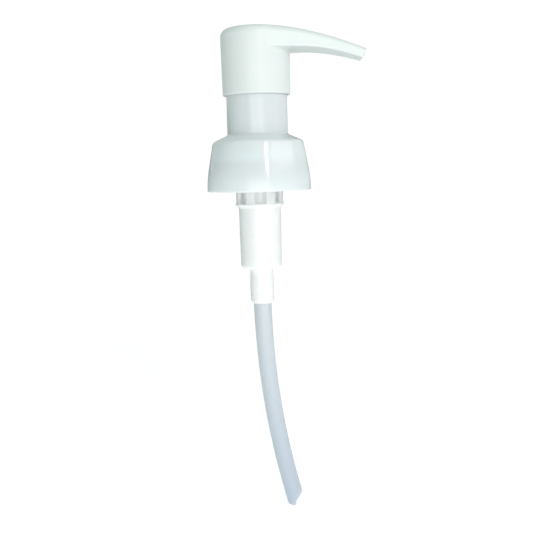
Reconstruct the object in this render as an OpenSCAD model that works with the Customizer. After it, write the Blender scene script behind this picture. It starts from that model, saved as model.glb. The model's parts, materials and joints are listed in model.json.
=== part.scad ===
// Condiment pump for a jug with a 38 mm screw neck.
// Pressing the head drives the plunger down against the spring, and food leaves by the spout.
// Frame: +Z up the pump's axis, +X along the spout, origin at the centre of the gasket's
// underside, where the pump sits on the jug's neck. Millimetres.

/* [Head] */
// Outside diameter of the head at its bottom rim
head_d = 29.8; // [29.8:0.1:30.6]
// How much wider the head is at its top than at its rim, on the diameter
head_taper = 0.6; // [0.4:0.1:1]
// Height of the head's bottom rim above the gasket's underside
rim_z = 27.5; // [27.2:0.1:28]
// Height of the crown of the head above the gasket's underside
crown_z = 57; // [56.8:0.1:60]
// Radius of the rounding between the head's side and its top
crown_round = 3; // [2.4:0.1:3.2]

/* [Spout] */
// Reach of the spout's tip from the pump's axis
spout_reach = 48.4; // [42:0.1:60]
// Drop of the spout's top edge from the crown to the tip
spout_drop = 11.1; // [9:0.1:12]
// Height of the spout's underside where it leaves the head
spout_floor_z = 46.8; // [46:0.1:47.5]
// Drop of the spout's underside from its root to the tip
spout_floor_drop = 5; // [3:0.1:6]
// Angle at which each side of the spout closes in towards the tip
spout_side_angle = 10.5; // [9:0.5:12]
// Wall under the spout's channel
spout_wall = 1.3; // [1:0.1:1.5]

/* [Closure] */
// Outside diameter of the turret that the head slides over
turret_d = 26.8; // [26.4:0.1:26.9]
// Outside diameter of the bell at its shoulder
shoulder_d = 40.2; // [40.1:0.1:40.8]
// Outside diameter of the bell at its bottom edge
bell_d = 46.3; // [45.6:0.1:48]
// Depth of the bell's bottom edge below the gasket's underside
bell_depth = 14.2; // [12:0.1:18]
// Wall of the bell
bell_wall = 1.25; // [1:0.05:1.3]

/* [Jug neck] */
// Inside diameter of the closure's thread wall, over a 38-400 neck
thread_wall_d = 37.9; // [37.8:0.1:38.1]
// Inside diameter over the crest of the closure's thread
thread_crest_d = 35.5; // [35.4:0.1:36]
// Pitch of the thread, six turns to the inch
thread_pitch = 4.233; // [4.2:0.001:4.3]
// Depth of the thread wall below the gasket's underside
thread_depth = 10; // [9:0.1:11]

/* [Housing] */
// Outside diameter of the windowed ring that hangs in the jug's neck
ring_d = 21.04; // [21:0.02:21.2]
// Diameter of the bore that the piston runs in
bore_d = 16; // [15.6:0.1:16.1]
// Outside diameter of the pump chamber at its top
chamber_d = 18.8; // [18.8:0.1:19.2]
// Number of windows round the ring
window_count = 7; // [4:1:8]
// Width of each window
window_w = 5.1; // [3:0.1:5.4]
// Turn of the windows about the pump's axis, from +X
window_turn = 15.5; // [0:0.1:51]

/* [Plunger] */
// Travel of the head from rest to its stop
stroke = 16; // [8:0.5:16]
// Outside diameter of the hollow stem
stem_d = 8; // [7.8:0.1:8]
// Diameter of the inlet check ball
inlet_ball_d = 7; // [6.8:0.1:7]
// Diameter of the discharge check ball
discharge_ball_d = 5.6; // [5.4:0.1:5.6]

/* [Spring] */
// Diameter of the spring wire
wire_d = 1.3; // [1:0.05:1.3]
// Mean diameter of the spring
coil_d = 16.6; // [16.4:0.1:16.8]
// Number of working turns
working_turns = 8; // [6:1:9]

/* [Dip tube] */
// Outside diameter of the dip tube
tube_d = 8; // [7.8:0.1:8]
// Wall of the dip tube
tube_wall = 1.2; // [0.8:0.1:1.5]
// Depth of the dip tube's end below the gasket's underside
tube_depth = 161; // [140:1:170]
// Radius of the dip tube's gentle curve towards the spout's side
tube_curve_r = 372; // [320:1:600]

/* [Hidden] */
$fn = 96;
slack = 0.01;

// Radial gap of a part that runs in another
run_gap = 0.05;
// Gap kept between faces that turn or stop against each other
face_gap = 0.3;

head_r = head_d / 2;
crown_r = head_r + head_taper / 2;
head_cavity_r = turret_d / 2 + 0.4;
crown_curve_r = 83;
cavity_roof_z = crown_z - 3.6;
rib_z = 42;
rib_t = 1.2;
rib_count = 8;
rib_reach = 9.8;
stem_tube_r = 5.9;
stem_tube_z = 31;
bridge_half_w = 5.4;
spout_curve = 1.75;
spout_flat_x = 20.5;
tip_lean = 1.8;
tip_round = 1.6;
channel_root_h = 4.4;
channel_tip_h = 2.2;
channel_half_w = 3.9;

stem_r = stem_d / 2;
stem_bore_r = 2.5;
stem_top_z = 45;
stem_collar_r = 5.2;
stem_throat_r = 1.8;
piston_top_z = -11.5;
piston_bottom_z = -20;
seat_drop = 1.5;
chamber_clear = 0.5;
ball_gap = 0.07;
ball_lift = 2;

gasket_t = 1;
gasket_r = 17.4;
flange_t = 1.6;
flange_r = 17;
flange_z = gasket_t + flange_t;
chaplet_t = 1.6;
chaplet_z = flange_z + chaplet_t;
chaplet_r = 16.5;
boss_r = 7;
boss_z = 7.5;
sleeve_r = 5.4;
sleeve_z = piston_top_z + 1.5 + face_gap;
seal_r = 6;
seal_z = 5;
vent_r = 0.7;
vent_at_r = 9.9;

spring_seat_z = chaplet_z + 0.1;
spring_seat_t = 0.8;
spring_floor_z = spring_seat_z + spring_seat_t;

turret_r = turret_d / 2;
turret_wall = 1.3;
turret_top_z = 30;
turret_fillet = 1.7;
turret_fillet_z = 12;
shoulder_z = 7.3;
shoulder_wall = 1.65;
bell_straight_z = -4.2;
bell_straight_r = 22.25;
clamp_z = chaplet_z + face_gap;

ring_r = ring_d / 2;
ring_wall = 0.8;
bore_r = bore_d / 2;
liner_r = 8.9;
window_floor_z = -19.75;
window_top_z = -8.6;
bead_r = ring_r + 0.34;
chamber_top_z = -21.9;
chamber_round_z = -45.6;
chamber_round = 3.5;
chamber_r = chamber_d / 2;
chamber_low_r = 9.15;
chamber_floor_z = -46.4;
inlet_throat_r = 2.4;
inlet_seat_r = 4;
tube_stop_z = -51.8;
socket_end_z = -65;
tube_bend_z = -62;

inlet_ball_z = chamber_floor_z - (inlet_seat_r - inlet_throat_r) - inlet_throat_r
    + sqrt(2) * (inlet_ball_d / 2 + ball_gap);
discharge_ball_z = stem_top_z - seat_drop - stem_throat_r
    + sqrt(2) * (discharge_ball_d / 2 + ball_gap);

// Points of an arc about [centre_r, centre_z], from one angle to another
function arc(centre_r, centre_z, radius, from, to, steps) = [
    for (i = [0 : steps])
        let (a = from + (to - from) * i / steps)
        [centre_r + radius * cos(a), centre_z + radius * sin(a)]
];

// Faces of a closed sweep made of rings + 1 outlines with so many points each
function tube_faces(rings, sides) = concat(
    [[for (k = [sides - 1 : -1 : 0]) k]],
    [
        for (i = [0 : rings - 1])
            for (k = [0 : sides - 1])
                let (n = (k + 1) % sides)
                [i * sides + k, i * sides + n, (i + 1) * sides + n, (i + 1) * sides + k]
    ],
    [[for (k = [0 : sides - 1]) rings * sides + k]]
);

// Height of the crown's domed surface at a distance from the axis
function crown_height(r) = crown_z - r * r / (2 * crown_curve_r);

// Top and underside of the spout as heights over the distance from the axis
function spout_top(x) = crown_z - spout_drop * pow(x / spout_reach, spout_curve);
function spout_under(x) =
    let (run = max(0, x - spout_flat_x) / (spout_reach - tip_lean - spout_flat_x))
    spout_floor_z - spout_floor_drop * pow(run, spout_curve);

// Outer radius of the bell at a height: a straight cone, then a round towards the bottom edge
function bell_r(z) = z > bell_straight_z
    ? bell_straight_r - (z - bell_straight_z) * bell_slope
    : let (t = (z + bell_depth) / (bell_straight_z + bell_depth))
      bell_d / 2 - (bell_d / 2 - bell_straight_r) * t * t;
bell_slope = (bell_straight_r - shoulder_d / 2) / (shoulder_z - bell_straight_z);

module washer(outer_r, inner_r, low_z, high_z) {
    translate([0, 0, low_z])
    difference() {
        cylinder(r = outer_r, h = high_z - low_z);
        translate([0, 0, -1])
            cylinder(r = inner_r, h = high_z - low_z + 2);
    }
}

// A solid turned about the pump's axis from an outline of [radius, height]
module turned(outline) {
    rotate_extrude() polygon(outline);
}

// An outline of [x, height] extruded along Y, centred on the spout's plane
module slab(outline, width) {
    rotate([90, 0, 0])
        linear_extrude(height = width, center = true)
            polygon(outline);
}

module head_shell() {
    turned(concat(
        [[0, rim_z], [0, crown_z]],
        [for (r = [3 : 3 : 12]) [r, crown_height(r)]],
        arc(crown_r - crown_round, crown_height(crown_r) - 2.6, crown_round, 75, 0, 6),
        [[head_r, rim_z + 0.7], [head_r - 0.7, rim_z]]
    ));
}

// Half the spout's width: level with the head's sides at the root, then closing in
function spout_half_w(x) =
    let (side_x = head_r * sin(spout_side_angle))
    head_r * cos(spout_side_angle) - max(0, x - side_x) * tan(spout_side_angle);

// The spout's outline across its length: flat underside, upright sides, rounded crowned top
function spout_section(x) =
    let (half_w = spout_half_w(x))
    let (round = crown_round + (tip_round - crown_round) * x / spout_reach)
    let (lean = tip_lean * pow(x / spout_reach, 2))
    let (top_z = spout_top(x))
    let (floor_z = spout_under(x - lean))
    let (edge_y = half_w - round)
    let (edge_z = top_z - edge_y * edge_y / (2 * crown_curve_r) - round)
    let (outline = concat(
        [[half_w, floor_z], [-half_w, floor_z]],
        arc(-edge_y, edge_z, round, 180, 100, 4),
        [[0, top_z]],
        arc(edge_y, edge_z, round, 80, 0, 4)
    ))
    [for (p = outline) [x - lean * (top_z - p[1]) / (top_z - floor_z), p[0], p[1]]];

module spout_solid() {
    stations = 14;
    root_x = 3;
    points = [
        for (i = [0 : stations])
            each spout_section(root_x + (spout_reach - root_x) * i / stations)
    ];
    sides = len(points) / (stations + 1);
    polyhedron(points, tube_faces(stations, sides));
}

module spout_channel() {
    intersection() {
        slab(concat(
            [for (i = [0 : 10])
                let (x = (spout_reach + 2) * i / 10)
                [x, spout_under(x) + spout_wall + channel_root_h
                    + (channel_tip_h - channel_root_h) * x / spout_reach]],
            [for (i = [10 : -1 : 0])
                let (x = (spout_reach + 2) * i / 10)
                [x, spout_under(x) + spout_wall]]
        ), 2 * channel_half_w);
        linear_extrude(height = crown_z)
            polygon([
                [0, -2.8], [18, -channel_half_w], [spout_reach + 3, -channel_half_w],
                [spout_reach + 3, channel_half_w], [18, channel_half_w], [0, 2.8]
            ]);
    }
}

module head_rib() {
    slab_from = stem_tube_r - 1;
    rotate([90, 0, 0])
        linear_extrude(height = rib_t, center = true)
            polygon([
                [slab_from, rib_z], [rib_reach, rib_z], [rib_reach, spout_floor_z],
                [head_cavity_r + 0.3, spout_floor_z], [head_cavity_r + 0.3, cavity_roof_z + 0.3],
                [slab_from, cavity_roof_z + 0.3]
            ]);
}

module head() {
    chamber_r = discharge_ball_d / 2 + chamber_clear;
    channel_top_z = spout_floor_z + spout_wall + channel_root_h;
    color("white")
    difference() {
        union() {
            difference() {
                union() {
                    head_shell();
                    spout_solid();
                }
                translate([0, 0, rim_z - 1])
                    cylinder(r = head_cavity_r, h = cavity_roof_z - rim_z + 1);
            }
            translate([0, 0, stem_tube_z])
                cylinder(r = stem_tube_r, h = cavity_roof_z - stem_tube_z + 0.3);
            translate([stem_r, -bridge_half_w, spout_floor_z])
                cube([head_cavity_r - stem_r + 0.3, 2 * bridge_half_w,
                    cavity_roof_z - spout_floor_z + 0.3]);
            for (i = [0 : rib_count - 1])
                rotate([0, 0, i * 360 / rib_count])
                    head_rib();
        }
        translate([0, 0, stem_tube_z - 1])
            cylinder(r = stem_r, h = stem_top_z - stem_tube_z + 1);
        difference() {
            translate([0, 0, stem_top_z - slack])
                cylinder(r = chamber_r, h = channel_top_z - stem_top_z + slack);
            translate([0, 0, discharge_ball_z + discharge_ball_d / 2 + ball_lift + face_gap])
                cylinder(r = 1, h = 5);
        }
        difference() {
            spout_channel();
            translate([0, 0, rim_z])
                cylinder(r = 1, h = crown_z - rim_z);
        }
    }
}

module discharge_ball() {
    color("silver")
        translate([0, 0, discharge_ball_z])
            sphere(d = discharge_ball_d);
}

module stem() {
    color("white")
    turned([
        [stem_bore_r, piston_bottom_z], [stem_r, piston_bottom_z],
        [stem_r, piston_top_z], [stem_collar_r, piston_top_z],
        [stem_collar_r, piston_top_z + 1.2], [stem_collar_r - 0.3, piston_top_z + 1.5],
        [stem_r, piston_top_z + 1.5], [stem_r, stem_top_z],
        [stem_throat_r + seat_drop, stem_top_z], [stem_throat_r, stem_top_z - seat_drop],
        [stem_throat_r, stem_top_z - seat_drop - 1],
        [stem_bore_r, stem_top_z - seat_drop - 1.9]
    ]);
}

module piston() {
    lip_r = bore_r - run_gap;
    color("ivory")
    turned([
        [stem_r, piston_bottom_z], [5.2, piston_bottom_z], [5.6, piston_bottom_z + 1.6],
        [6.7, piston_bottom_z], [lip_r, piston_bottom_z], [lip_r, piston_bottom_z + 0.8],
        [7.1, piston_bottom_z + 2.2], [7.1, piston_top_z - 2.2],
        [lip_r, piston_top_z - 0.8], [lip_r, piston_top_z], [6.7, piston_top_z],
        [5.6, piston_top_z - 1.6], [5.2, piston_top_z], [stem_r, piston_top_z]
    ]);
}

module piston_retainer() {
    inner_r = 1.7;
    color("white")
    turned([
        [inner_r, piston_bottom_z - 1.5], [5.2, piston_bottom_z - 1.5],
        [5.2, piston_bottom_z], [stem_bore_r, piston_bottom_z],
        [stem_bore_r, piston_bottom_z + 6.5], [inner_r + 0.3, piston_bottom_z + 7],
        [inner_r, piston_bottom_z + 7]
    ]);
}

// Height of the wire's centre after a number of turns: closed ends, open turns between them
function wire_z(turn) =
    let (closed_pitch = wire_d + 0.06)
    let (low_z = spring_floor_z + wire_d / 2 + 0.02)
    let (high_z = rib_z - wire_d / 2 - 0.02)
    let (open_pitch = (high_z - low_z - 2 * closed_pitch) / working_turns)
    low_z + closed_pitch * min(turn, 1)
    + open_pitch * min(max(turn - 1, 0), working_turns)
    + closed_pitch * max(turn - 1 - working_turns, 0);

module spring() {
    sides = 8;
    steps = 24;
    rings = steps * (working_turns + 2);
    points = [
        for (i = [0 : rings])
            for (k = [0 : sides - 1])
                let (a = 360 * i / steps)
                let (b = 360 * k / sides)
                let (r = coil_d / 2 + wire_d / 2 * cos(b))
                [r * cos(a), r * sin(a), wire_z(i / steps) + wire_d / 2 * sin(b)]
    ];
    color("silver")
        polyhedron(points, tube_faces(rings, sides));
}

module spring_seat() {
    color("gainsboro")
        washer(coil_d / 2 + 0.8, boss_r + 0.3, spring_seat_z, spring_floor_z);
}

module stem_seal() {
    inner_r = stem_r + run_gap;
    color("lightgray")
    turned([
        [inner_r, seal_z], [seal_r, seal_z], [seal_r, boss_z - 0.2], [5.3, boss_z - 0.2],
        [5, seal_z + 1.2], [4.5, boss_z - 0.2], [inner_r, boss_z - 0.2]
    ]);
}

module chaplet() {
    inner_r = stem_r + run_gap;
    plug_r = bore_r - run_gap;
    color("white")
    difference() {
        turned([
            [inner_r, sleeve_z], [sleeve_r, sleeve_z], [sleeve_r, flange_z],
            [plug_r - 1.2, flange_z], [plug_r - 1.2, -1.5], [plug_r, -1.5],
            [plug_r, flange_z], [chaplet_r, flange_z], [chaplet_r, chaplet_z],
            [boss_r, chaplet_z], [boss_r, boss_z - 0.4], [boss_r - 0.4, boss_z],
            [seal_r, boss_z], [seal_r, seal_z], [inner_r, seal_z]
        ]);
        for (i = [0 : 3])
            rotate([0, 0, 45 + i * 90])
                translate([vent_at_r, 0, flange_z - 1])
                    cylinder(r = vent_r, h = chaplet_t + 2, $fn = 24);
    }
}

// One turn and a bit of a tapering ridge inside the thread wall
module thread_ridge() {
    steps = 36;
    turns = 1.15;
    fade = 25;
    root_r = thread_wall_d / 2 + 0.15;
    rings = round(steps * turns);
    points = [
        for (i = [0 : rings])
            let (a = 360 * i / steps)
            let (rise = min(1, a / fade, (rings * 360 / steps - a) / fade))
            let (z = -thread_depth + 1.8 + thread_pitch * a / 360)
            let (crest = thread_wall_d / 2 - 0.05 - rise
                * (thread_wall_d - thread_crest_d - 0.1) / 2)
            for (p = [[root_r, -1.2], [root_r, 1.2], [crest, 0.45], [crest, -0.45]])
                [p[0] * cos(a), p[0] * sin(a), z + p[1]]
    ];
    polyhedron(points, tube_faces(rings, 4));
}

module closure() {
    wall_in = thread_wall_d / 2;
    wall_out = wall_in + 1.2;
    fillet_end = 65;
    shoulder_in = turret_r + turret_fillet * (1 - cos(fillet_end));
    shoulder_top = turret_fillet_z - turret_fillet * sin(fillet_end);
    // Height of the shoulder's upper face at a radius
    slope = (shoulder_top - shoulder_z - 0.45) / (shoulder_d / 2 - 0.4 - shoulder_in);
    merge_z = bell_straight_z + (bell_straight_r - bell_wall - wall_out) / bell_slope;
    color("lightcyan")
    union() {
        turned(concat(
            [[turret_r - turret_wall, turret_top_z], [turret_r - 0.3, turret_top_z],
                [turret_r, turret_top_z - 0.3]],
            arc(turret_r + turret_fillet, turret_fillet_z, turret_fillet,
                180, 180 + fillet_end, 5),
            [[shoulder_d / 2 - 0.4, shoulder_z + 0.45], [shoulder_d / 2, shoulder_z]],
            [[bell_straight_r, bell_straight_z]],
            [for (i = [1 : 7])
                let (z = bell_straight_z - (bell_depth + bell_straight_z) * i / 7)
                [bell_r(z), z]],
            [for (i = [7 : -1 : 0])
                let (z = bell_straight_z - (bell_depth + bell_straight_z) * i / 7)
                [bell_r(z) - bell_wall, z]],
            [[wall_out, merge_z], [wall_out, -thread_depth + 0.3],
                [wall_out - 0.3, -thread_depth], [wall_in + 0.3, -thread_depth],
                [wall_in, -thread_depth + 0.3]],
            [for (r = [wall_in, chaplet_r - 0.3])
                [r, shoulder_top - slope * (r - shoulder_in) - shoulder_wall]],
            [[chaplet_r - 0.3, clamp_z], [chaplet_r - 1.5, clamp_z],
                [chaplet_r - 1.5, shoulder_top - shoulder_wall - 0.3],
                [turret_r - turret_wall, shoulder_top - shoulder_wall]]
        ));
        thread_ridge();
    }
}

module gasket() {
    color("whitesmoke")
        washer(gasket_r, ring_r + 0.08, 0, gasket_t);
}

module housing() {
    color("white")
    difference() {
        turned(concat(
            [[ring_r - ring_wall, flange_z], [flange_r, flange_z], [flange_r, gasket_t],
                [ring_r, gasket_t], [ring_r, window_floor_z],
                [bead_r, window_floor_z - 0.2], [bead_r, window_floor_z - 0.7],
                [chamber_r, chamber_top_z], [chamber_r - 0.05, -33]],
            arc(chamber_low_r - chamber_round, chamber_round_z, chamber_round, 0, -90, 7),
            [[5.1, chamber_round_z - chamber_round], [5.12, -51], [5.4, -56.4],
                [5.22, socket_end_z + 1], [4.75, socket_end_z], [tube_d / 2 + 0.4, socket_end_z],
                [tube_d / 2 + 0.02, socket_end_z + 1.2], [tube_d / 2 + 0.02, tube_stop_z],
                [inlet_throat_r, tube_stop_z],
                [inlet_throat_r, chamber_floor_z - (inlet_seat_r - inlet_throat_r)],
                [inlet_seat_r, chamber_floor_z], [bore_r, chamber_floor_z],
                [bore_r, flange_z - 0.2], [liner_r, flange_z - 0.2],
                [liner_r, window_floor_z + 0.5], [ring_r - ring_wall, window_floor_z + 0.5]]
        ));
        for (i = [0 : window_count - 1])
            rotate([0, 0, window_turn + i * 360 / window_count])
                translate([(liner_r + ring_r - ring_wall) / 2 - 0.15, -window_w / 2, window_floor_z])
                    cube([3, window_w, window_top_z - window_floor_z]);
    }
}

module ball_cage() {
    cage_in = inlet_ball_d / 2 + 0.4;
    cage_out = cage_in + 1;
    top_z = inlet_ball_z + inlet_ball_d / 2 + ball_lift + 0.25;
    color("whitesmoke")
    difference() {
        turned([
            [cage_in, chamber_floor_z], [bore_r - run_gap, chamber_floor_z],
            [bore_r - run_gap, chamber_floor_z + 0.9], [cage_out, chamber_floor_z + 0.9],
            [cage_out, top_z + 0.8], [1.6, top_z + 0.8], [1.6, top_z], [cage_in, top_z]
        ]);
        for (i = [0 : 2])
            rotate([0, 0, 30 + i * 120])
                translate([cage_in - 1, -1.5, chamber_floor_z + 0.9])
                    cube([3, 3, top_z - chamber_floor_z - 1.9]);
    }
}

module inlet_ball() {
    color("silver")
        translate([0, 0, inlet_ball_z])
            sphere(d = inlet_ball_d);
}

// A round bar along the dip tube's path: straight in the socket, then one wide arc
module tube_path(radius, top_z) {
    bend_angle = asin((tube_depth + tube_bend_z + 6) / tube_curve_r);
    translate([0, 0, tube_bend_z - slack])
        cylinder(r = radius, h = top_z - tube_bend_z + slack);
    translate([tube_curve_r, 0, tube_bend_z])
        rotate([90, 0, 0])
            rotate([0, 0, 180])
                rotate_extrude(angle = bend_angle, $fn = 720)
                    translate([tube_curve_r, 0])
                        circle(r = radius, $fn = 64);
}

module dip_tube() {
    end_x = tube_curve_r - sqrt(pow(tube_curve_r, 2) - pow(tube_depth + tube_bend_z, 2));
    color("lightcyan")
    difference() {
        tube_path(tube_d / 2, tube_stop_z);
        tube_path(tube_d / 2 - tube_wall, tube_stop_z + 1);
        // The end is cut level, with a slanted nick on the side away from the pump's axis
        slab([
            [end_x - 20, -tube_depth], [end_x - 0.8, -tube_depth],
            [end_x - 0.3, -tube_depth + 2.6], [end_x + 2.6, -tube_depth + 5.8],
            [end_x + 20, -tube_depth + 24], [end_x + 20, -tube_depth - 20],
            [end_x - 20, -tube_depth - 20]
        ], 4 * tube_d);
    }
}

head();
discharge_ball();
stem();
piston();
piston_retainer();
spring();
spring_seat();
stem_seal();
chaplet();
closure();
gasket();
housing();
ball_cage();
inlet_ball();
dip_tube();
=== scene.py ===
"""Looks of the condiment pump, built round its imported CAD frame.

The head, closure, housing, spring and dip tube get smooth meshes of their own, which stand for
their CAD nodes. The small inner pieces stay as CAD made them, with procedural materials.
Outlines are worked out in millimetres in the part's frame, and scaled to metres in one place.
"""

import json
import math

import bpy
import numpy as np
from mathutils import Matrix, Vector

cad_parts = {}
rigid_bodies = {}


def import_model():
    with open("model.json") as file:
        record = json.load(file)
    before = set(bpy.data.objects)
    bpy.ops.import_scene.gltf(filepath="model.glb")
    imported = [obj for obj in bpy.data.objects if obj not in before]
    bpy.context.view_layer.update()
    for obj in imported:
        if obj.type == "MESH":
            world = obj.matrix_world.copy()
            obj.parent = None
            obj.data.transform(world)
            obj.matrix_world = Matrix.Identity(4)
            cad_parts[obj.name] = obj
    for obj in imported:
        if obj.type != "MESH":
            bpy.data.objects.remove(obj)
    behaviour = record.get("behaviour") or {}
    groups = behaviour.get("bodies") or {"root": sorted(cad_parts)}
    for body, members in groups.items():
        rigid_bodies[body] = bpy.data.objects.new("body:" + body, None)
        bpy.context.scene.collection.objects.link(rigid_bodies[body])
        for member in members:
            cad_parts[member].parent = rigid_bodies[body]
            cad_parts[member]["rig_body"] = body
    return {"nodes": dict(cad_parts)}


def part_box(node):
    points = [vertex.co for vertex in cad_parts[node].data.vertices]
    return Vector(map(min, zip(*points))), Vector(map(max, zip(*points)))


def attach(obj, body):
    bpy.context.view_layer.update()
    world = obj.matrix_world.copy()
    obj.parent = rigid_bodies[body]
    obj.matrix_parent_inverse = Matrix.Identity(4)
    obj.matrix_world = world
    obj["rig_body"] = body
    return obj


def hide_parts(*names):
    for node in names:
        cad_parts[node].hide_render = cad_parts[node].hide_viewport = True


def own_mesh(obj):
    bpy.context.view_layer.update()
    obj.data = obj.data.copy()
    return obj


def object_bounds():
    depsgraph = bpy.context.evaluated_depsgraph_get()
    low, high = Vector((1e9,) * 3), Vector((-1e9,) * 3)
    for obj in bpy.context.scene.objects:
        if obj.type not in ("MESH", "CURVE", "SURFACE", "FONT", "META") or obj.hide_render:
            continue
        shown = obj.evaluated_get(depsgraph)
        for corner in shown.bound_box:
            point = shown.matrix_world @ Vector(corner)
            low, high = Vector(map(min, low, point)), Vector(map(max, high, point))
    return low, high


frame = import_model()
cad_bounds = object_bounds()

MM = 0.001


def box_mm(node):
    """Lowest and highest corner of a CAD node, in millimetres."""
    low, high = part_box(node)
    return low / MM, high / MM


# ---------------------------------------------------------------- camera, floor and light

CAMERA_AT = (0.0022, -0.360, -0.0021)
CAMERA_DOWN = math.radians(7.37)
CAMERA_ROLL = math.radians(-1.67)
CAMERA_LENS = 54.03
CAMERA_SENSOR = 36
CAMERA_CLIP = (0.01, 20)


def make_camera():
    """A view along +Y, tipped down a little, and rolled so that the pump leans to the left."""
    forward = Vector((0, math.cos(CAMERA_DOWN), -math.sin(CAMERA_DOWN)))
    level_up = Vector((0, math.sin(CAMERA_DOWN), math.cos(CAMERA_DOWN)))
    level_right = Vector((1, 0, 0))
    right = level_right * math.cos(CAMERA_ROLL) + level_up * math.sin(CAMERA_ROLL)
    up = level_up * math.cos(CAMERA_ROLL) - level_right * math.sin(CAMERA_ROLL)
    data = bpy.data.cameras.new("camera")
    data.lens = CAMERA_LENS
    data.sensor_width = CAMERA_SENSOR
    data.clip_start, data.clip_end = CAMERA_CLIP
    camera = bpy.data.objects.new("camera", data)
    aim = Matrix((right, up, -forward)).transposed().to_4x4()
    camera.matrix_world = Matrix.Translation(CAMERA_AT) @ aim
    bpy.context.scene.collection.objects.link(camera)
    bpy.context.scene.camera = camera


# Each light's name, azimuth, elevation, distance, width and height, power and colour
SOFTBOXES = (
    ("softbox_right", 63, 22.5, 1.1, (1.2, 0.32), 2.1, (1.0, 0.965, 0.97)),
    ("strip_right", 20, 26, 1.1, (0.10, 0.5), 2.4, (1.0, 1.0, 1.0)),
    ("softbox_front", 0, -2, 1.1, (1.0, 0.35), 2.3, (1.0, 0.975, 0.98)),
    ("softbox_low", 15, -8.6, 0.6, (1.7, 0.13), 1.0, (1.0, 1.0, 1.0)),
    ("softbox_back", 135, 20, 1.1, (1.0, 0.8), 1.1, (1.0, 0.97, 0.98)),
    ("softbox_rear", -150, 25, 1.1, (1.0, 0.8), 0.9, (1.0, 1.0, 1.0)),
    ("softbox_left", -65, 20, 1.1, (1.0, 0.8), 0.4, (0.80, 1.0, 0.94)),
    ("softbox_top", -10, 80, 1.2, (1.2, 1.2), 2.2, (1.0, 1.0, 1.0)),
)


def make_softbox(name, azimuth, elevation, distance, size, power, colour):
    """A soft rectangle of light. Azimuth 0 is the side the camera stands on, 90 is +X."""
    turn = math.radians(azimuth)
    lift = math.radians(elevation)
    away = Vector((
        math.sin(turn) * math.cos(lift), -math.cos(turn) * math.cos(lift), math.sin(lift)
    ))
    data = bpy.data.lights.new(name, "AREA")
    data.shape = "RECTANGLE"
    data.size, data.size_y = size
    data.energy = power
    data.color = colour
    lamp = bpy.data.objects.new(name, data)
    lamp.location = away * distance
    lamp.rotation_mode = "QUATERNION"
    lamp.rotation_quaternion = away.to_track_quat("Z", "Y")
    lamp.visible_camera = False
    bpy.context.scene.collection.objects.link(lamp)


ROOM_COLOUR = (0.80, 1.0, 0.95, 1)
ROOM_STRENGTH = 0.33
BACKDROP_COLOUR = (1, 1, 1, 1)
BACKDROP_STRENGTH = 1.02


def make_world():
    """A white backdrop for the camera, and a dimmer, slightly cool room as light."""
    world = bpy.data.worlds.new("studio")
    bpy.context.scene.world = world
    world.use_nodes = True
    nodes, links = world.node_tree.nodes, world.node_tree.links
    nodes.clear()
    path = nodes.new("ShaderNodeLightPath")
    room = nodes.new("ShaderNodeBackground")
    room.inputs["Color"].default_value = ROOM_COLOUR
    room.inputs["Strength"].default_value = ROOM_STRENGTH
    backdrop = nodes.new("ShaderNodeBackground")
    backdrop.inputs["Color"].default_value = BACKDROP_COLOUR
    backdrop.inputs["Strength"].default_value = BACKDROP_STRENGTH
    mix = nodes.new("ShaderNodeMixShader")
    out = nodes.new("ShaderNodeOutputWorld")
    links.new(path.outputs["Is Camera Ray"], mix.inputs[0])
    links.new(room.outputs[0], mix.inputs[1])
    links.new(backdrop.outputs[0], mix.inputs[2])
    links.new(mix.outputs[0], out.inputs["Surface"])


FLOOR_RADIUS = 0.40
FLOOR_GAP = 0.0005
FLOOR_RINGS = 12
FLOOR_COLUMNS = 96
FLOOR_GLOW = 0.70


def make_floor():
    """A pale round floor just under the dip tube. Its glow hides its edge against the backdrop."""
    columns = FLOOR_COLUMNS
    height = cad_bounds[0].z - FLOOR_GAP
    points = [(0, 0, height)]
    faces = []
    for i in range(1, FLOOR_RINGS + 1):
        for k in range(columns):
            turn = 2 * math.pi * k / columns
            reach = FLOOR_RADIUS * i / FLOOR_RINGS
            points.append((reach * math.cos(turn), reach * math.sin(turn), height))
    for k in range(columns):
        n = (k + 1) % columns
        faces.append((0, 1 + k, 1 + n))
        for i in range(FLOOR_RINGS - 1):
            inner = 1 + i * columns
            outer = inner + columns
            faces.append((inner + k, outer + k, outer + n, inner + n))
    mesh = bpy.data.meshes.new("floor")
    mesh.from_pydata(points, [], faces)
    floor = bpy.data.objects.new("floor", mesh)
    bpy.context.scene.collection.objects.link(floor)
    shader = Shader("pale_floor", roughness=0.8, specular_ior_level=0)
    shader.set("Emission Color", (1, 1, 1, 1))
    shader.set("Emission Strength", FLOOR_GLOW)
    shader.vary_colour((0.60, 0.61, 0.61), (0.57, 0.58, 0.58), scale=6)
    mesh.materials.append(shader.material)


# ---------------------------------------------------------------- materials

# Most of a noise texture's values lie between these two
NOISE_SPAN = (0.3, 0.7)


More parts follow.
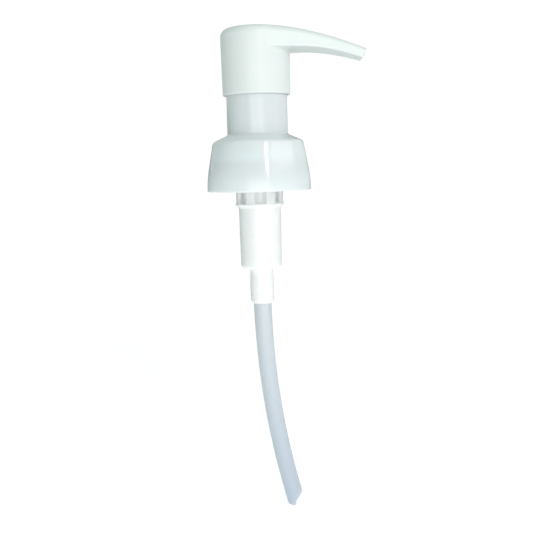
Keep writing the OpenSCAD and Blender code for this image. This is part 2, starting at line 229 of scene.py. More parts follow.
class Shader:
    """A Principled material whose colour, roughness and relief vary over the piece."""

    def __init__(self, name, **values):
        self.material = bpy.data.materials.new(name)
        self.material.use_nodes = True
        self.nodes = self.material.node_tree.nodes
        self.links = self.material.node_tree.links
        self.principled = self.nodes["Principled BSDF"]
        self.place = self.nodes.new("ShaderNodeTexCoord").outputs["Object"]
        for socket, value in values.items():
            self.set(socket.replace("_", " ").title().replace("Ior", "IOR"), value)

    def set(self, socket, value):
        """Sets one of the shader's own sockets."""
        self.principled.inputs[socket].default_value = value

    def noise(self, scale, detail, stretch):
        """Smooth noise in the part's own coordinates; scale is in waves per metre."""
        mapping = self.nodes.new("ShaderNodeMapping")
        mapping.inputs["Scale"].default_value = stretch
        texture = self.nodes.new("ShaderNodeTexNoise")
        texture.inputs["Scale"].default_value = scale
        texture.inputs["Detail"].default_value = detail
        self.links.new(self.place, mapping.inputs["Vector"])
        self.links.new(mapping.outputs["Vector"], texture.inputs["Vector"])
        return texture.outputs["Fac"]

    def vary_colour(self, light, dark, scale, stretch=(1, 1, 1)):
        """Lets the colour drift between two shades."""
        ramp = self.nodes.new("ShaderNodeValToRGB")
        ramp.color_ramp.elements[0].position = NOISE_SPAN[0]
        ramp.color_ramp.elements[0].color = (*dark, 1)
        ramp.color_ramp.elements[1].position = NOISE_SPAN[1]
        ramp.color_ramp.elements[1].color = (*light, 1)
        self.links.new(self.noise(scale, 2, stretch), ramp.inputs["Fac"])
        self.links.new(ramp.outputs["Color"], self.principled.inputs["Base Color"])

    def paint_shade_down(self, top_mm, bottom_mm, tint):
        """Paints shade into the colour: multiplies it by a tint that grows from none at one height
        to full at another.
        """
        base = self.principled.inputs["Base Color"]
        colour = base.links[0].from_socket
        height = self.nodes.new("ShaderNodeSeparateXYZ")
        share = self.nodes.new("ShaderNodeMapRange")
        share.inputs["From Min"].default_value = top_mm * MM
        share.inputs["From Max"].default_value = bottom_mm * MM
        mix = self.nodes.new("ShaderNodeMix")
        mix.data_type = "RGBA"
        mix.blend_type = "MULTIPLY"
        self.links.new(self.place, height.inputs[0])
        self.links.new(height.outputs["Z"], share.inputs["Value"])
        self.links.new(share.outputs["Result"], mix.inputs["Factor"])
        self.links.new(colour, mix.inputs["A"])
        mix.inputs["B"].default_value = (*tint, 1)
        self.links.new(mix.outputs["Result"], base)

    def vary_roughness(self, low, high, scale, stretch=(1, 1, 1)):
        """Lets the roughness drift between two values."""
        span = self.nodes.new("ShaderNodeMapRange")
        span.inputs["From Min"].default_value = NOISE_SPAN[0]
        span.inputs["From Max"].default_value = NOISE_SPAN[1]
        span.inputs["To Min"].default_value = low
        span.inputs["To Max"].default_value = high
        self.links.new(self.noise(scale, 4, stretch), span.inputs["Value"])
        self.links.new(span.outputs["Result"], self.principled.inputs["Roughness"])

    def add_relief(self, depth, scale, stretch=(1, 1, 1)):
        """Fine surface relief; depth is in metres."""
        bump = self.nodes.new("ShaderNodeBump")
        bump.inputs["Strength"].default_value = 1
        bump.inputs["Distance"].default_value = depth
        self.links.new(self.noise(scale, 3, stretch), bump.inputs["Height"])
        self.links.new(bump.outputs["Normal"], self.principled.inputs["Normal"])


def milky(shader, weight, depth_mm):
    """Lets light spread under the surface, a little further for green and blue than for red."""
    shader.set("Subsurface Weight", weight)
    shader.set("Subsurface Radius", (0.85, 1.0, 1.0))
    shader.set("Subsurface Scale", depth_mm * MM)


def white_plastic():
    """Satin white polypropylene of the moulded head."""
    shader = Shader("white_polypropylene", ior=1.49)
    shader.vary_colour((0.835, 0.865, 0.855), (0.815, 0.85, 0.84), scale=90)
    shader.vary_roughness(0.30, 0.40, scale=400)
    shader.add_relief(depth=0.000012, scale=1500)
    milky(shader, weight=0.35, depth_mm=1.5)
    return shader.material


def housing_plastic():
    """The housing's brighter, smoother white."""
    shader = Shader("white_housing", ior=1.49)
    shader.vary_colour((0.975, 0.98, 0.975), (0.96, 0.97, 0.965), scale=110)
    shader.vary_roughness(0.25, 0.29, scale=120)
    shader.add_relief(depth=0.0000015, scale=900)
    milky(shader, weight=0.4, depth_mm=2.0)
    return shader.material


def natural_plastic():
    """Glossy, milky natural polypropylene of the closure."""
    shader = Shader("natural_polypropylene", ior=1.49, transmission_weight=0.05)
    shader.vary_colour((0.85, 0.91, 0.945), (0.83, 0.895, 0.935), scale=70)
    shader.vary_roughness(0.10, 0.17, scale=300)
    shader.add_relief(depth=0.000006, scale=900)
    milky(shader, weight=0.7, depth_mm=3.0)
    return shader.material


def tube_plastic():
    """Milky extruded polyethylene, with faint lines along the tube, and painted shade that darkens
    it towards its foot.
    """
    shader = Shader("natural_polyethylene", ior=1.51, transmission_weight=0.12)
    shader.vary_colour((0.745, 0.785, 0.83), (0.725, 0.77, 0.815), scale=260, stretch=(1, 1, 0.12))
    # painted shade: the colour darkens and turns bluer from the bend down to the tube's foot
    shader.paint_shade_down(TUBE_BEND_Z, TUBE_FULL_SHADE_Z, (0.72, 0.755, 0.83))
    shader.vary_roughness(0.28, 0.33, scale=160, stretch=(1, 1, 0.15))
    shader.add_relief(depth=0.000002, scale=1100, stretch=(1, 1, 0.03))
    milky(shader, weight=0.6, depth_mm=2.5)
    return shader.material


def waxy_plastic():
    """Waxy natural polyethylene of the piston, the ball cage and the spring's washer."""
    shader = Shader("waxy_polyethylene", ior=1.51)
    shader.vary_colour((0.87, 0.88, 0.85), (0.84, 0.85, 0.82), scale=300)
    shader.vary_roughness(0.38, 0.5, scale=700)
    shader.add_relief(depth=0.00001, scale=2200)
    milky(shader, weight=0.4, depth_mm=1.5)
    return shader.material


def silicone():
    """Matte food-grade silicone of the stem's seal."""
    shader = Shader("silicone", ior=1.41)
    shader.vary_colour((0.76, 0.77, 0.77), (0.73, 0.74, 0.745), scale=500)
    shader.vary_roughness(0.5, 0.62, scale=900)
    shader.add_relief(depth=0.000012, scale=3000)
    milky(shader, weight=0.3, depth_mm=1.0)
    return shader.material


FOAM_CELLS_PER_METRE = 2600
FOAM_CELL_DEPTH = 0.00008


def foam():
    """Fine closed-cell polyethylene foam of the gasket, with its cells as a soft relief."""
    shader = Shader("gasket_foam", ior=1.45)
    shader.vary_colour((0.91, 0.91, 0.89), (0.87, 0.87, 0.85), scale=1800)
    shader.vary_roughness(0.62, 0.8, scale=2500)
    cells = shader.nodes.new("ShaderNodeTexVoronoi")
    cells.inputs["Scale"].default_value = FOAM_CELLS_PER_METRE
    bump = shader.nodes.new("ShaderNodeBump")
    bump.inputs["Strength"].default_value = 1
    bump.inputs["Distance"].default_value = FOAM_CELL_DEPTH
    shader.links.new(shader.place, cells.inputs["Vector"])
    shader.links.new(cells.outputs["Distance"], bump.inputs["Height"])
    shader.links.new(bump.outputs["Normal"], shader.principled.inputs["Normal"])
    return shader.material


def drawn_steel():
    """Drawn stainless wire, with fine scratches across the pump's axis, along the turns."""
    shader = Shader("drawn_stainless", metallic=1.0, specular_tint=(0.9, 0.9, 0.9, 1))
    shader.vary_colour((0.66, 0.665, 0.67), (0.54, 0.545, 0.55), scale=500, stretch=(0.2, 0.2, 3))
    shader.vary_roughness(0.2, 0.36, scale=900, stretch=(0.1, 0.1, 6))
    shader.add_relief(depth=0.000008, scale=1200, stretch=(0.1, 0.1, 6))
    return shader.material


def polished_steel():
    """Ground and polished stainless of the two check balls."""
    shader = Shader("polished_stainless", metallic=1.0)
    shader.vary_colour((0.74, 0.745, 0.75), (0.68, 0.685, 0.69), scale=900)
    shader.vary_roughness(0.06, 0.13, scale=1500)
    shader.add_relief(depth=0.000002, scale=4000)
    return shader.material


# ---------------------------------------------------------------- mesh helpers

def new_piece(name, node, material, points_mm, faces):
    """A smooth piece that rides on its CAD node's body and stands for that node."""
    mesh = bpy.data.meshes.new(name)
    mesh.from_pydata(np.asarray(points_mm) * MM, [], faces)
    mesh.polygons.foreach_set("use_smooth", [True] * len(mesh.polygons))
    mesh.materials.append(material)
    mesh.update()
    piece = bpy.data.objects.new(name, mesh)
    bpy.context.scene.collection.objects.link(piece)
    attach(piece, frame["nodes"][node]["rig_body"])
    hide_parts(node)
    return piece


# An arc takes up at most this share of the shorter side next to its corner
ARC_SHARE = 0.45


def rounded(corners, steps=5):
    """A closed outline of [radius, height], with each corner (radius, height, rounding) an arc."""
    outline = []
    count = len(corners)
    for i, (r, z, rounding) in enumerate(corners):
        here = np.array([r, z], float)
        back = np.array(corners[i - 1][:2]) - here
        ahead = np.array(corners[(i + 1) % count][:2]) - here
        if not rounding:
            outline.append(here)
            continue
        room = ARC_SHARE * min(np.linalg.norm(back), np.linalg.norm(ahead))
        back /= np.linalg.norm(back)
        ahead /= np.linalg.norm(ahead)
        half = math.acos(np.clip(back @ ahead, -1, 1)) / 2
        reach = min(rounding / math.tan(half), room)
        inward = (back + ahead) / np.linalg.norm(back + ahead)
        centre = here + inward * reach / math.cos(half)
        start = here + back * reach - centre
        end = here + ahead * reach - centre
        begin = math.atan2(start[1], start[0])
        sweep = (math.atan2(end[1], end[0]) - begin + math.pi) % (2 * math.pi) - math.pi
        radius = reach * math.tan(half)
        for k in range(steps + 1):
            turn = begin + sweep * k / steps
            outline.append(centre + radius * np.array([math.cos(turn), math.sin(turn)]))
    return np.array(outline)


def ring_faces(rows, columns, closed_rows=True):
    """Quads of a grid that closes on itself along its columns, and along its rows if asked."""
    faces = []
    for i in range(rows if closed_rows else rows - 1):
        n = (i + 1) % rows
        for k in range(columns):
            m = (k + 1) % columns
            faces.append((i * columns + k, i * columns + m, n * columns + m, n * columns + k))
    return faces


def lathe(outline, columns, radius_at=None):
    """Points and faces of an outline turned about the axis.

    The outline runs anticlockwise in (radius, height), and radius_at(radii, heights, turns)
    may change the radius from place to place.
    """
    turns = np.arange(columns) * 2 * math.pi / columns
    radii = np.repeat(outline[:, :1], columns, 1)
    heights = np.repeat(outline[:, 1:], columns, 1)
    if radius_at:
        radii = radius_at(radii, heights, turns)
    points = np.stack([radii * np.cos(turns), radii * np.sin(turns), heights], -1)
    return points.reshape(-1, 3), ring_faces(len(outline), columns)


LARGE_FACE_WEIGHT = 80


def even_normals(piece):
    """Large faces keep their own shading, and the roundings between them take the turn."""
    modifier = piece.modifiers.new("even_normals", "WEIGHTED_NORMAL")
    modifier.keep_sharp = True
    modifier.weight = LARGE_FACE_WEIGHT


# ---------------------------------------------------------------- meshes from a distance field

# How far apart a field is sampled for its slope on the way to the surface, and for its normals
SLOPE_REACH = 0.02
NORMAL_REACH = 0.12
# The least squared slope that is trusted, and the longest step towards the surface
LEAST_SLOPE = 0.2
LONGEST_STEP = 0.5
SMOOTHING_ROUNDS = 3


def common(a, b, rounding):
    """What two solids share. A field is negative inside, and the shared edge is rounded."""
    corner = np.hypot(np.maximum(a + rounding, 0), np.maximum(b + rounding, 0))
    return np.minimum(-rounding, np.maximum(a, b)) + corner


def united(a, b, rounding):
    """Two solids as one, with a fillet where they meet."""
    return -common(-a, -b, rounding)


def slope_of(field, points, reach):
    """Rate of change of a field at each point."""
    slope = np.empty_like(points)
    for axis in range(3):
        step = np.zeros(3)
        step[axis] = reach
        slope[:, axis] = (field(points + step) - field(points - step)) / (2 * reach)
    return slope


def onto_surface(field, points, rounds=4):
    """Moves points along the field's slope until they lie on the surface."""
    for _ in range(rounds):
        slope = slope_of(field, points, SLOPE_REACH)
        share = field(points) / np.maximum((slope ** 2).sum(1), LEAST_SLOPE)
        points = points - slope * np.clip(share, -LONGEST_STEP, LONGEST_STEP)[:, None]
    return points


def surface_of(field, low, high, cell):
    """Points, quads and normals of a field's surface: one point in each cell that it crosses."""
    low = np.array(low, float) - 1.5 * cell
    axes = [np.arange(a, b + 2 * cell, cell) for a, b in zip(low, high)]
    inside = field(np.stack(np.meshgrid(*axes, indexing="ij"), -1)) < 0
    wide, deep, tall = np.array(inside.shape) - 1
    corners = sum(
        inside[i:i + wide, j:j + deep, k:k + tall].astype(int)
        for i in (0, 1) for j in (0, 1) for k in (0, 1)
    )
    crossed = (corners > 0) & (corners < 8)
    number = np.full(crossed.shape, -1)
    number[crossed] = np.arange(crossed.sum())
    points = low + (np.argwhere(crossed) + 0.5) * cell
    quads = []
    for axis in range(3):
        side_u = np.eye(3, dtype=int)[(axis + 1) % 3]
        side_v = np.eye(3, dtype=int)[(axis + 2) % 3]
        lower = np.take(inside, np.arange(inside.shape[axis] - 1), axis)
        upper = np.take(inside, np.arange(1, inside.shape[axis]), axis)
        at = np.argwhere(lower != upper)
        around = [at, at - side_u, at - side_u - side_v, at - side_v]
        found = np.stack([number[tuple(cells.T)] for cells in around], -1)
        faces_down = ~lower[tuple(at.T)]
        found[faces_down] = found[faces_down][:, ::-1]
        quads.append(found)
    quads = np.concatenate(quads)
    starts = quads.ravel()
    ends = np.roll(quads, -1, 1).ravel()
    links = np.bincount(starts, minlength=len(points)) + np.bincount(ends, minlength=len(points))
    points = onto_surface(field, points)
    for _ in range(SMOOTHING_ROUNDS):
        neighbours = np.stack([
            np.bincount(starts, points[ends, axis], len(points))
            + np.bincount(ends, points[starts, axis], len(points))
            for axis in range(3)
        ], -1)
        points = onto_surface(field, (points + neighbours / links[:, None]) / 2, 2)
    normals = slope_of(field, points, NORMAL_REACH)
    return points, quads, normals / np.linalg.norm(normals, axis=1)[:, None]


# ---------------------------------------------------------------- head

head_low, head_high = box_mm("head")
stem_high = box_mm("stem")[1]
HEAD_RIM_Z = head_low.z
HEAD_CROWN_Z = head_high.z
HEAD_RIM_R = 14.9
HEAD_RIM_ROUND = 0.45
HEAD_WIDEST_DROP = 4
HEAD_TAPER = (-head_low.x - HEAD_RIM_R) / (HEAD_CROWN_Z - HEAD_WIDEST_DROP - HEAD_RIM_Z)
CROWN_CURVE_R = 83
CROWN_ROUND = 3.0
TIP_ROUND = 1.6
SPOUT_REACH = head_high.x
SPOUT_DROP = 11.1
SPOUT_CURVE = 1.75
SPOUT_FLOOR_Z = 46.8
SPOUT_FLOOR_DROP = 5.0
SPOUT_FLAT_X = 20.5
SPOUT_SIDE = math.radians(10.5)
SPOUT_ROOT_X = HEAD_RIM_R * math.sin(SPOUT_SIDE)
SPOUT_EDGE_ROUND = 0.6
SPOUT_FILLET = 0.9
SPOUT_FILLET_X = (7, 12)
TIP_LEAN = 1.8
TIP_EDGE_ROUND = 0.35
CAVITY_R = 13.8
CAVITY_ROOF_Z = HEAD_CROWN_Z - 3.6
CAVITY_ROUND = 0.8
CAVITY_EDGE_ROUND = 0.3
RIB_Z = 42
RIB_HALF_T = 0.6
RIB_REACH = 9.8
RIB_COUNT = 8
STEM_TUBE_R = 5.9
STEM_TUBE_Z = 31
STEM_TUBE_ROUND = 0.4
BRIDGE_HALF_W = 5.4
INNER_ROUND = 0.3
INNER_FILLET = 0.5
BALL_CHAMBER_R = 3.3
BALL_CHAMBER_OVERLAP = 0.1
CHANNEL_WALL = 1.3
CHANNEL_ROOT_H = 4.4
CHANNEL_TIP_H = 2.2
CHANNEL_HALF_W = 3.9
CHANNEL_ROOT_HALF_W = 2.8
CHANNEL_SPREAD = 1.1 / 18
CHANNEL_ROUND = 0.5
CHANNEL_FILLET = 0.2
OUTLET_ROUND = 0.25
HEAD_CELL = 0.45


def spout_floor(x):
    """Height of the spout's underside, level to SPOUT_FLAT_X and then curving down to the tip."""
    run = np.maximum(x - SPOUT_FLAT_X, 0) / (SPOUT_REACH - TIP_LEAN - SPOUT_FLAT_X)
    return SPOUT_FLOOR_Z - SPOUT_FLOOR_DROP * run ** SPOUT_CURVE


def head_outside(x, y, z, r):
    """The head's body and its spout as one smooth moulding."""
    run = np.maximum(x, 0) / SPOUT_REACH
    dome = (y ** 2 + np.minimum(x, 0) ** 2) / (2 * CROWN_CURVE_R)
    fall = SPOUT_CURVE * SPOUT_DROP / SPOUT_REACH * run ** (SPOUT_CURVE - 1)
    top = (z - HEAD_CROWN_Z + SPOUT_DROP * run ** SPOUT_CURVE + dome) / np.sqrt(1 + fall ** 2)
    body = r - HEAD_RIM_R - HEAD_TAPER * (z - HEAD_RIM_Z)
    half_w = HEAD_RIM_R * math.cos(SPOUT_SIDE) - (x - SPOUT_ROOT_X) * math.tan(SPOUT_SIDE)
    side = (np.abs(y) - half_w) * math.cos(SPOUT_SIDE)
    under = spout_floor(x) - z
    spout = np.maximum(common(side, under, SPOUT_EDGE_ROUND), SPOUT_ROOT_X - x)
    fillet_start, fillet_full = SPOUT_FILLET_X
    fillet = SPOUT_FILLET * np.clip((x - fillet_start) / (fillet_full - fillet_start), 0, 1)
    walls = united(body, spout, fillet)
    shell = common(top, walls, CROWN_ROUND + (TIP_ROUND - CROWN_ROUND) * run)
    tip_top_z = HEAD_CROWN_Z - SPOUT_DROP
    tip_slope = TIP_LEAN / (tip_top_z - SPOUT_FLOOR_Z + SPOUT_FLOOR_DROP)
    end = (x - SPOUT_REACH + tip_slope * (tip_top_z - z)) / math.hypot(1, tip_slope)
    return common(shell, end, TIP_EDGE_ROUND)


def head_inside(x, y, z, r):
    """Everything that stands in the head's cavity: stem tube, ribs and the bridge to the spout."""
    tube = common(r - STEM_TUBE_R, STEM_TUBE_Z - z, STEM_TUBE_ROUND)
    turn = np.arctan2(y, x)
    step = 2 * math.pi / RIB_COUNT
    off = np.abs(r * np.sin((turn + step / 2) % step - step / 2))
    rib_end = np.where(z > SPOUT_FLOOR_Z, r - CAVITY_R - 1, r - RIB_REACH)
    ribs = np.maximum(common(off - RIB_HALF_T, RIB_Z - z, INNER_ROUND), rib_end)
    bridge = np.maximum(common(np.abs(y) - BRIDGE_HALF_W, SPOUT_FLOOR_Z - z, INNER_ROUND), -x)
    return united(united(tube, ribs, INNER_FILLET), bridge, INNER_FILLET)


def head_field(points):
    """The whole head: shell, cavity, and the way for the food from the stem to the outlet."""
    x, y, z = points[..., 0], points[..., 1], points[..., 2]
    r = np.hypot(x, y)
    outside = common(head_outside(x, y, z, r), HEAD_RIM_Z - z, HEAD_RIM_ROUND)
    cavity = common(r - CAVITY_R, z - CAVITY_ROOF_Z, CAVITY_ROUND)
    air = common(cavity, -head_inside(x, y, z, r), STEM_TUBE_ROUND)
    bore = np.maximum(r - stem_high.x, z - stem_high.z)
    chamber_top_z = SPOUT_FLOOR_Z + CHANNEL_WALL + CHANNEL_ROOT_H
    chamber_wall = common(r - BALL_CHAMBER_R, z - chamber_top_z, INNER_ROUND)
    chamber = np.maximum(chamber_wall, stem_high.z - BALL_CHAMBER_OVERLAP - z)
    floor_z = spout_floor(x) + CHANNEL_WALL
    height = CHANNEL_ROOT_H + (CHANNEL_TIP_H - CHANNEL_ROOT_H) * x / SPOUT_REACH
    half_w = np.minimum(CHANNEL_HALF_W, CHANNEL_ROOT_HALF_W + np.maximum(x, 0) * CHANNEL_SPREAD)
    channel_top = np.abs(z - floor_z - height / 2) - height / 2
    channel = common(np.abs(y) - half_w, channel_top, CHANNEL_ROUND)
    way = united(np.minimum(bore, chamber), np.maximum(channel, -x), CHANNEL_FILLET)
    return common(common(outside, -air, CAVITY_EDGE_ROUND), -way, OUTLET_ROUND)


def make_head():
    """The head with its spout, meshed from its field, with the field's own normals."""
    cell = HEAD_CELL
    low = (head_low.x, head_low.y, HEAD_RIM_Z)
    points, quads, normals = surface_of(head_field, low, head_high, cell)
    points = np.clip(points, head_low, head_high)
    head = new_piece("head_moulding", "head", white_plastic(), points, quads)
    head.data.normals_split_custom_set_from_vertices(normals)


# ---------------------------------------------------------------- closure

closure_low, closure_high = box_mm("closure")
TURRET_R = 13.4
TURRET_WALL = 1.3
TURRET_FILLET = 1.1
TURRET_FILLET_Z = 11.2
FILLET_END = math.radians(65)
FILLET_POINTS = 10
EDGE_ROUND = 0.35
SHOULDER_R = 20.1
SHOULDER_Z = 7.45
SHOULDER_ROUND = 2.2
SHOULDER_WALL = 1.65
BELL_STRAIGHT = (22.25, -4.2)
BELL_WALL = 1.25
BELL_EDGE_ROUND = 0.4
BELL_POINTS = 12
THREAD_WALL_R = 18.95
THREAD_WALL = 1.2
THREAD_DEPTH = 10
THREAD_HEIGHT = 1.2
THREAD_PITCH = 4.233
THREAD_TURNS = 1.15
THREAD_FADE = math.radians(25)
THREAD_START_Z = 1.8 - THREAD_DEPTH
THREAD_HALF_W = 1.25
THREAD_FLANK_W = 0.8
THREAD_TOP_Z = -1.5
THREAD_ROWS = 44
CLAMP_R = (15.0, 16.2)
CLAMP_Z = 4.5
CLAMP_ROOT_DROP = 0.3
THREAD_FACE_TOP_Z = CLAMP_Z - 2
SAME_RADIUS = 0.01
CLOSURE_COLUMNS = 192


def bell_r(z):
    """Outer radius of the bell below its straight part, a parabola to the bottom edge."""
    t = (z - closure_low.z) / (BELL_STRAIGHT[1] - closure_low.z)
    return closure_high.y - (closure_high.y - BELL_STRAIGHT[0]) * t ** 2


def thread_rise(radii, heights, turns):
    """Pushes the thread wall's inner face in along a helix, as a ridge that fades at its ends."""
    inner_face = (np.abs(radii - THREAD_WALL_R) < SAME_RADIUS) & (heights < THREAD_FACE_TOP_Z)
    rise = np.zeros_like(radii)
    for lap in (0, 1):
        angle = turns + lap * 2 * math.pi
        left = THREAD_TURNS * 2 * math.pi - angle
        ends = np.clip(np.minimum(angle, left) / THREAD_FADE, 0, 1)
        centre = THREAD_START_Z + THREAD_PITCH * angle / (2 * math.pi)
        flank = np.clip((THREAD_HALF_W - np.abs(heights - centre)) / THREAD_FLANK_W, 0, 1)
        rise = np.maximum(rise, ends * flank)
    return radii - inner_face * rise * THREAD_HEIGHT


def closure_outline():
    """The closure's wall: down inside past the clamp and the thread, then up outside the bell."""
    fillet_x = TURRET_R + TURRET_FILLET
    fillet = [
        (fillet_x - TURRET_FILLET * math.cos(a), TURRET_FILLET_Z - TURRET_FILLET * math.sin(a), 0)
        for a in np.linspace(0, FILLET_END, FILLET_POINTS)
    ]
    shoulder_in, shoulder_top = fillet[-1][:2]
    slope = (shoulder_top - SHOULDER_Z) / (SHOULDER_R - shoulder_in)
    bell_heights = np.linspace(BELL_STRAIGHT[1], closure_low.z, BELL_POINTS)
    bell = [(bell_r(z), z, 0) for z in bell_heights]
    bell[-1] = (*bell[-1][:2], BELL_EDGE_ROUND)
    bell_inside = [(r - BELL_WALL, z, rounding) for r, z, rounding in bell[::-1]]
    wall_out = THREAD_WALL_R + THREAD_WALL
    bell_slope = (BELL_STRAIGHT[0] - SHOULDER_R) / (SHOULDER_Z - BELL_STRAIGHT[1])
    merge_z = BELL_STRAIGHT[1] + (BELL_STRAIGHT[0] - BELL_WALL - wall_out) / bell_slope
    thread_heights = np.linspace(-THREAD_DEPTH + EDGE_ROUND, THREAD_TOP_Z, THREAD_ROWS)
    thread_wall = [(THREAD_WALL_R, z, 0) for z in thread_heights]

    def ceiling(r):
        """Height of the shoulder's underside at a radius."""
        return shoulder_top - slope * (r - shoulder_in) - SHOULDER_WALL

    outline = [
        (TURRET_R, closure_high.z, EDGE_ROUND),
        (TURRET_R - TURRET_WALL, closure_high.z, EDGE_ROUND),
        (TURRET_R - TURRET_WALL, shoulder_top - SHOULDER_WALL, 0.5),
        (CLAMP_R[0], shoulder_top - SHOULDER_WALL - CLAMP_ROOT_DROP, 0.3),
        (CLAMP_R[0], CLAMP_Z, 0.2),
        (CLAMP_R[1], CLAMP_Z, 0.2),
        (CLAMP_R[1], ceiling(CLAMP_R[1]), 0.3),
        (THREAD_WALL_R, ceiling(THREAD_WALL_R), 0.6),
        *thread_wall[::-1],
        (THREAD_WALL_R, -THREAD_DEPTH, 0.3),
        (wall_out, -THREAD_DEPTH, 0.3),
        (wall_out, merge_z, 0.5),
        *bell_inside[::-1],
        *bell[::-1],
        (SHOULDER_R, SHOULDER_Z, SHOULDER_ROUND),
        *fillet[::-1],
    ]
    return rounded(outline)


def make_closure():
    """The closure, turned from its outline, with the thread raised on its inner wall."""
    columns = CLOSURE_COLUMNS
    points, faces = lathe(closure_outline(), columns, thread_rise)
    closure = new_piece(
        "closure_moulding", "closure", natural_plastic(), points, faces
    )
    even_normals(closure)


# ---------------------------------------------------------------- housing

housing_low, housing_high = box_mm("housing")
gasket_high = box_mm("gasket")[1]
tube_low, tube_high = box_mm("dip_tube")
RING_R = 10.52
RING_WALL = 1.3
RING_LIP = 0.34
LINER_R = 8.9
LINER_DROP = 0.2
LINER_FLOOR = 0.5
BORE_R = 8.0
BORE_FLOOR_Z = -46.4
INLET_SEAT_R = 4.0
INLET_R = 2.4
INLET_SEAT_Z = -48.0
WINDOW_COUNT = 7
WINDOW_W = 5.1
WINDOW_Z = (-19.75, -8.6)
WINDOW_TURN = math.radians(15.5)
WINDOW_CORNER = 0.5
WINDOW_CORNER_STEPS = 4
WINDOW_DEPTHS = (LINER_R + 0.26, RING_R + 1.5)
SOCKET_BORE_R = 4.02
SOCKET_CHAMFER = 1.2
HOUSING_COLUMNS = 160
HOUSING_SHARP = math.radians(35)
# Outer faces from the bottom up, as radius, height and rounding
SOCKET_OUTSIDE = (
    (4.4, housing_low.z, 0.15),
    (4.75, housing_low.z, 0.3),
    (5.22, housing_low.z + 1, 0.6),
    (5.4, -56.4, 2),
    (5.12, -51, 2),
    (5.1, -49.1, 0.5),
)
CHAMBER_OUTSIDE = (
    (9.15, -49.1, 3.5),
    (9.35, -33, 3),
    (9.4, -21.9, 0.5),
)


def housing_outline():
    """The housing's wall: down inside its ring and bore, then up outside its socket and chamber."""
    floor_z = WINDOW_Z[0]
    corners = [
        (RING_R - RING_WALL, housing_high.z, 0.2),
        (RING_R - RING_WALL, floor_z + LINER_FLOOR, 0.3),
        (LINER_R, floor_z + LINER_FLOOR, 0.3),
        (LINER_R, housing_high.z - LINER_DROP, 0.2),
        (BORE_R, housing_high.z - LINER_DROP, 0.2),
        (BORE_R, BORE_FLOOR_Z, 0.3),
        (INLET_SEAT_R, BORE_FLOOR_Z, 0.1),
        (INLET_R, INLET_SEAT_Z, 0.1),
        (INLET_R, tube_high.z, 0.1),
        (SOCKET_BORE_R, tube_high.z, 0.1),
        (SOCKET_BORE_R, housing_low.z + SOCKET_CHAMFER, 0.1),
        *SOCKET_OUTSIDE,
        *CHAMBER_OUTSIDE,
        (RING_R + RING_LIP, floor_z - 0.7, 0.25),
        (RING_R + RING_LIP, floor_z - 0.2, 0.2),
        (RING_R, floor_z, 0.15),
        (RING_R, gasket_high.z, 0.3),
        (housing_high.x, gasket_high.z, 0.3),
        (housing_high.x, housing_high.z, 0.3),
    ]
    return rounded(corners, 6)


def window_cutter():
    """Blocks with rounded corners, which cut the windows through the ring's wall."""
    half_w = WINDOW_W / 2 - WINDOW_CORNER
    half_h = (WINDOW_Z[1] - WINDOW_Z[0]) / 2 - WINDOW_CORNER
    middle_z = sum(WINDOW_Z) / 2
    outline = []
    for side_w, side_h, start in ((1, 1, 0), (-1, 1, 90), (-1, -1, 180), (1, -1, 270)):
        for k in range(WINDOW_CORNER_STEPS + 1):
            turn = math.radians(start + 90 / WINDOW_CORNER_STEPS * k)
            across = side_w * half_w + WINDOW_CORNER * math.cos(turn)
            up = side_h * half_h + WINDOW_CORNER * math.sin(turn)
            outline.append((across, up))
    points, faces = [], []
    sides = len(outline)
    for i in range(WINDOW_COUNT):
        turn = WINDOW_TURN + i * 2 * math.pi / WINDOW_COUNT
        base = len(points)
        for depth in WINDOW_DEPTHS:
            for across, up in outline:
                points.append((
                    depth * math.cos(turn) - across * math.sin(turn),
                    depth * math.sin(turn) + across * math.cos(turn),
                    middle_z + up,
                ))
        faces.append([base + k for k in range(sides - 1, -1, -1)])
        faces.append([base + sides + k for k in range(sides)])
        for k in range(sides):
            n = (k + 1) % sides
            faces.append([base + k, base + n, base + sides + n, base + sides + k])
    mesh = bpy.data.meshes.new("window_cutter")
    mesh.from_pydata(np.array(points) * MM, [], faces)
    cutter = bpy.data.objects.new("window_cutter", mesh)
    bpy.context.scene.collection.objects.link(cutter)
    return cutter


def cut_and_drop(piece, cutter):
    """Cuts the cutter out of the piece for good, and removes it."""
    modifier = piece.modifiers.new("cut", "BOOLEAN")
    modifier.operation = "DIFFERENCE"
    modifier.solver = "EXACT"
    modifier.object = cutter
    bpy.context.view_layer.update()
    graph = bpy.context.evaluated_depsgraph_get()
    result = bpy.data.meshes.new_from_object(piece.evaluated_get(graph))
    piece.modifiers.clear()
    piece.data = result
    bpy.data.objects.remove(cutter)
    result.set_sharp_from_angle(angle=HOUSING_SHARP)


def make_housing():
    """The housing, turned from its outline, with the windows cut through its ring."""
    columns = HOUSING_COLUMNS
    points, faces = lathe(housing_outline(), columns)
    housing = new_piece(
        "housing_moulding", "housing", housing_plastic(), points, faces
    )
    cut_and_drop(housing, window_cutter())
    even_normals(housing)


# ---------------------------------------------------------------- spring and dip tube

spring_low, spring_high = box_mm("spring")
WIRE_R = 0.65
WORKING_TURNS = 8
CLOSED_PITCH = 1.36
WIRE_SIDES = 12
STEPS_A_TURN = 40


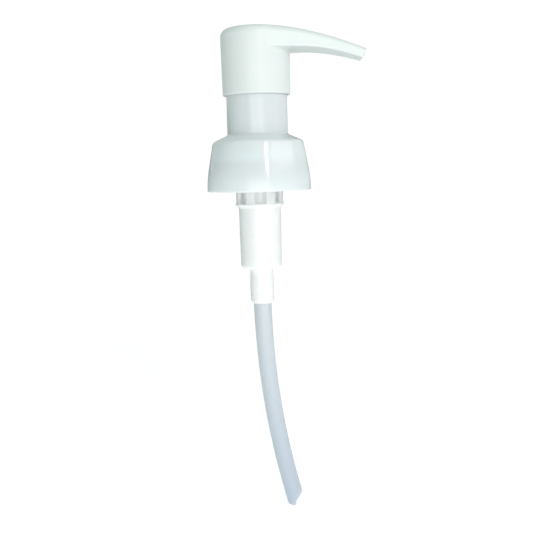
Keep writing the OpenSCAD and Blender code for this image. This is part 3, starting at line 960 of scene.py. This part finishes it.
def make_spring():
    """A helix of round wire with a closed turn at each end."""
    coil_r = spring_high.x - WIRE_R
    start_z = spring_low.z + WIRE_R
    end_z = spring_high.z - WIRE_R
    open_pitch = (end_z - start_z - 2 * CLOSED_PITCH) / WORKING_TURNS
    laps = np.arange(STEPS_A_TURN * (WORKING_TURNS + 2) + 1) / STEPS_A_TURN
    open_laps = np.clip(laps - 1, 0, WORKING_TURNS)
    heights = start_z + CLOSED_PITCH * (laps - open_laps) + open_pitch * open_laps
    turns = laps * 2 * math.pi
    round_wire = np.arange(WIRE_SIDES) * 2 * math.pi / WIRE_SIDES
    radii = coil_r + WIRE_R * np.cos(round_wire)
    rings = []
    for turn, height in zip(turns, heights):
        rings.append(np.stack([
            radii * math.cos(turn), radii * math.sin(turn), height + WIRE_R * np.sin(round_wire)
        ], -1))
    points = np.concatenate(rings)
    faces = [face[::-1] for face in ring_faces(len(rings), WIRE_SIDES, closed_rows=False)]
    last = len(points) - WIRE_SIDES
    faces.append(tuple(range(WIRE_SIDES)))
    faces.append(tuple(last + k for k in range(WIRE_SIDES - 1, -1, -1)))
    spring = new_piece("spring_coil", "spring", drawn_steel(), points, faces)
    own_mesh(spring)


TUBE_R = 4.0
TUBE_BORE_R = 2.8
TUBE_CURVE_R = 372
TUBE_BEND_Z = -62
TUBE_FULL_SHADE_Z = -160
TUBE_COLUMNS = 64
TUBE_ROWS = 90
TUBE_SHARP = math.radians(50)
# The tube's end is cut to these heights above its lowest point, at these places across the tube
CUT_ACROSS = np.array([-20, -0.8, -0.3, 2.6, 20])
CUT_UP = (0, 0, 2.6, 5.8, 24)
# The cut lies between these two distances along the route, and is found by halving
CUT_BETWEEN = (60.0, 130.0)
HALVINGS = 40


def tube_point(run, turn, radius):
    """A point of the tube's wall, a way along its route: straight to the bend, then one wide arc."""
    bend = np.maximum(run - (tube_high.z - TUBE_BEND_Z), 0) / TUBE_CURVE_R
    straight = np.minimum(run, tube_high.z - TUBE_BEND_Z)
    out = radius * np.cos(turn)
    return np.stack([
        TUBE_CURVE_R - (TUBE_CURVE_R - out) * np.cos(bend),
        radius * np.sin(turn) + 0 * run,
        tube_high.z - straight - (TUBE_CURVE_R - out) * np.sin(bend),
    ], -1)


def tube_cut_z(x):
    """Height at which the tube's end is cut: level, then up a slanted nick on the +X side."""
    end_x = TUBE_CURVE_R - math.sqrt(TUBE_CURVE_R ** 2 - (TUBE_BEND_Z - tube_low.z) ** 2)
    return tube_low.z + np.interp(x, end_x + CUT_ACROSS, CUT_UP)


def tube_wall(radius, turns, rows):
    """Rows of points down one face of the tube, each column ending at the cut."""
    near, far = (np.full(len(turns), run) for run in CUT_BETWEEN)
    for _ in range(HALVINGS):
        middle = (near + far) / 2
        at = tube_point(middle, turns, radius)
        above = at[:, 2] > tube_cut_z(at[:, 0])
        near = np.where(above, middle, near)
        far = np.where(above, far, middle)
    share = np.linspace(0, 1, rows)[:, None]
    return tube_point(near * share, turns[None, :], radius)


def make_dip_tube():
    """The curved dip tube, open at both ends and cut with a nick at its foot."""
    turns = np.arange(TUBE_COLUMNS) * 2 * math.pi / TUBE_COLUMNS
    outer = tube_wall(TUBE_R, turns, TUBE_ROWS)
    inner = tube_wall(TUBE_BORE_R, turns, TUBE_ROWS)
    grid = np.concatenate([outer[::-1], inner])
    tube = new_piece(
        "dip_tube_extrusion", "dip_tube", tube_plastic(),
        grid.reshape(-1, 3), ring_faces(2 * TUBE_ROWS, TUBE_COLUMNS),
    )
    tube.data.set_sharp_from_angle(angle=TUBE_SHARP)
    even_normals(tube)


# ---------------------------------------------------------------- pieces that stay as CAD made them

def finish_cad_nodes():
    """Gives each small CAD piece its material."""
    white = housing_plastic()
    waxy = waxy_plastic()
    steel = polished_steel()
    finishes = {
        "stem": white,
        "chaplet": white,
        "piston_retainer": white,
        "piston": waxy,
        "spring_seat": waxy,
        "ball_cage": waxy,
        "stem_seal": silicone(),
        "gasket": foam(),
        "discharge_ball": steel,
        "inlet_ball": steel,
    }
    for node, material in finishes.items():
        piece = frame["nodes"][node]
        piece.data.materials.clear()
        piece.data.materials.append(material)


# ---------------------------------------------------------------- everything in order

make_camera()
make_world()
make_floor()
for softbox in SOFTBOXES:
    make_softbox(*softbox)
make_head()
make_closure()
make_housing()
make_spring()
make_dip_tube()
finish_cad_nodes()
bpy.context.scene.view_settings.view_transform = "Standard"
